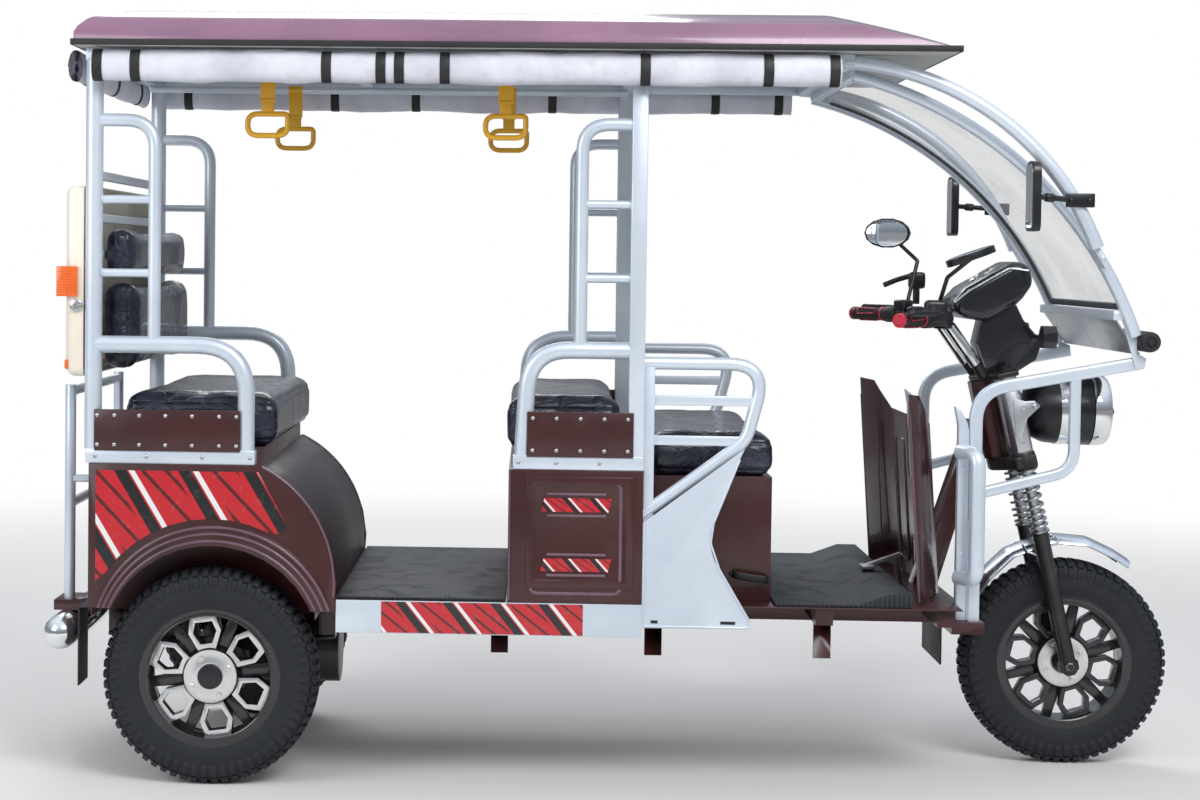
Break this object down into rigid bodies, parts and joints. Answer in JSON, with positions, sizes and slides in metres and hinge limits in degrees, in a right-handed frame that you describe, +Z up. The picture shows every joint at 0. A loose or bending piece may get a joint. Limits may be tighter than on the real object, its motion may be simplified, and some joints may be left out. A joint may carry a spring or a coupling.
{
  "type": "auto rickshaw",
  "caption": "Three-wheeled electric auto rickshaw with open sides, facing seats, a moulded roof on silver tube frames, a curved windscreen and a raked front fork.",
  "frame": {"origin": "on the ground under the middle of the vehicle's bounding box", "axes": "+X forward, +Y to the vehicle's left, +Z up"},
  "size_m": [2.7177, 1.042, 1.8349],
  "materials": {
    "tyre_rubber": "matt black rubber with shoulder lugs",
    "alloy": "machined petals on black cast alloy",
    "black_alloy": "black painted cast alloy",
    "maroon_paint": "dark maroon gloss paint",
    "maroon_plastic": "dark maroon moulding",
    "roof_plastic": "mauve-maroon gloss moulding",
    "lining": "light grey lining",
    "black_steel": "black paint",
    "mat_rubber": "ribbed black rubber",
    "black_rubber": "black rubber",
    "silver_tube": "silver paint",
    "alloy_sheet": "pressed bright sheet",
    "bright_steel": "bright plated steel",
    "chrome": "polished plating",
    "clear_sheet": "clear sheet",
    "black_plastic": "black moulding",
    "cream_plastic": "cream moulding",
    "orange_lens": "orange lens",
    "yellow_plastic": "yellow moulding",
    "battery_case": "battery cases",
    "vinyl": "navy-black vinyl",
    "curtain_cloth": "light grey woven cloth"
  },
  "bodies": {
    "vehicle": {"battery_pack": "battery_case", "brake_pedal": "bright_steel", "canopy_frame": "silver_tube", "ceiling_panel": "lining", "chassis_frame": "maroon_paint", "curtain_rolls": "curtain_cloth", "driver_seat_box": "maroon_paint", "driver_seat_cushion": "vinyl", "floor_mats": "mat_rubber", "floor_pan": "maroon_paint", "frame_mirrors": "black_plastic", "front_guards": "silver_tube", "grab_handles": "yellow_plastic", "leaf_springs": "black_steel", "leg_shield": "maroon_plastic", "mid_frames": "silver_tube", "mid_seat_box": "maroon_paint", "mid_seat_cushion": "vinyl", "mud_flaps": "black_rubber", "nose_bar": "black_rubber", "nose_panel": "alloy_sheet", "rear_axle": "black_steel", "rear_backrest": "vinyl", "rear_body_sides": "maroon_paint", "rear_bumper": "chrome", "rear_deck": "maroon_paint", "rear_frame": "silver_tube", "rear_guard": "silver_tube", "rear_lamps": "orange_lens", "rear_seat_cushion": "vinyl", "rear_seat_riser": "maroon_paint", "roof_shell": "roof_plastic", "roof_trim": "black_rubber", "side_panels": "silver_tube", "side_plates": "maroon_paint", "tail_panel": "cream_plastic", "windscreen": "clear_sheet", "windscreen_frame": "silver_tube"},
    "steering": {"fork_yokes": "silver_tube", "fork_legs": "black_steel", "fork_springs": "bright_steel", "front_fender": "bright_steel", "headlamp_shell": "black_plastic", "headlamp_bezel": "chrome", "handlebar": "black_steel", "handlebar_grips": "black_plastic", "bar_mirrors": "black_plastic", "instrument_pod": "black_plastic", "nacelle": "black_plastic"},
    "front_wheel": {"front_tyre": "tyre_rubber", "front_rim": "black_alloy"},
    "rear_wheel_right": {"rear_tyre_right": "tyre_rubber", "rear_rim_right": "alloy"},
    "rear_wheel_left": {"rear_tyre_left": "tyre_rubber", "rear_rim_left": "alloy"}
  },
  "joints": [
    {"name": "steering_turn", "type": "hinge", "parent": "vehicle", "child": "steering", "pos_m": [1.05575, 0, 0.2535], "axis": [-0.225, 0, 0.9744], "range_deg": [-35, 35]},
    {"name": "front_wheel_spin", "type": "hinge", "parent": "steering", "child": "front_wheel", "pos_m": [1.10575, 0, 0.2535], "axis": [0, 1, 0], "continuous": true},
    {"name": "rear_wheel_right_spin", "type": "hinge", "parent": "vehicle", "child": "rear_wheel_right", "pos_m": [-0.96125, -0.395, 0.2535], "axis": [0, 1, 0], "continuous": true},
    {"name": "rear_wheel_left_spin", "type": "hinge", "parent": "vehicle", "child": "rear_wheel_left", "pos_m": [-0.96125, 0.395, 0.2535], "axis": [0, 1, 0], "continuous": true}
  ]
}
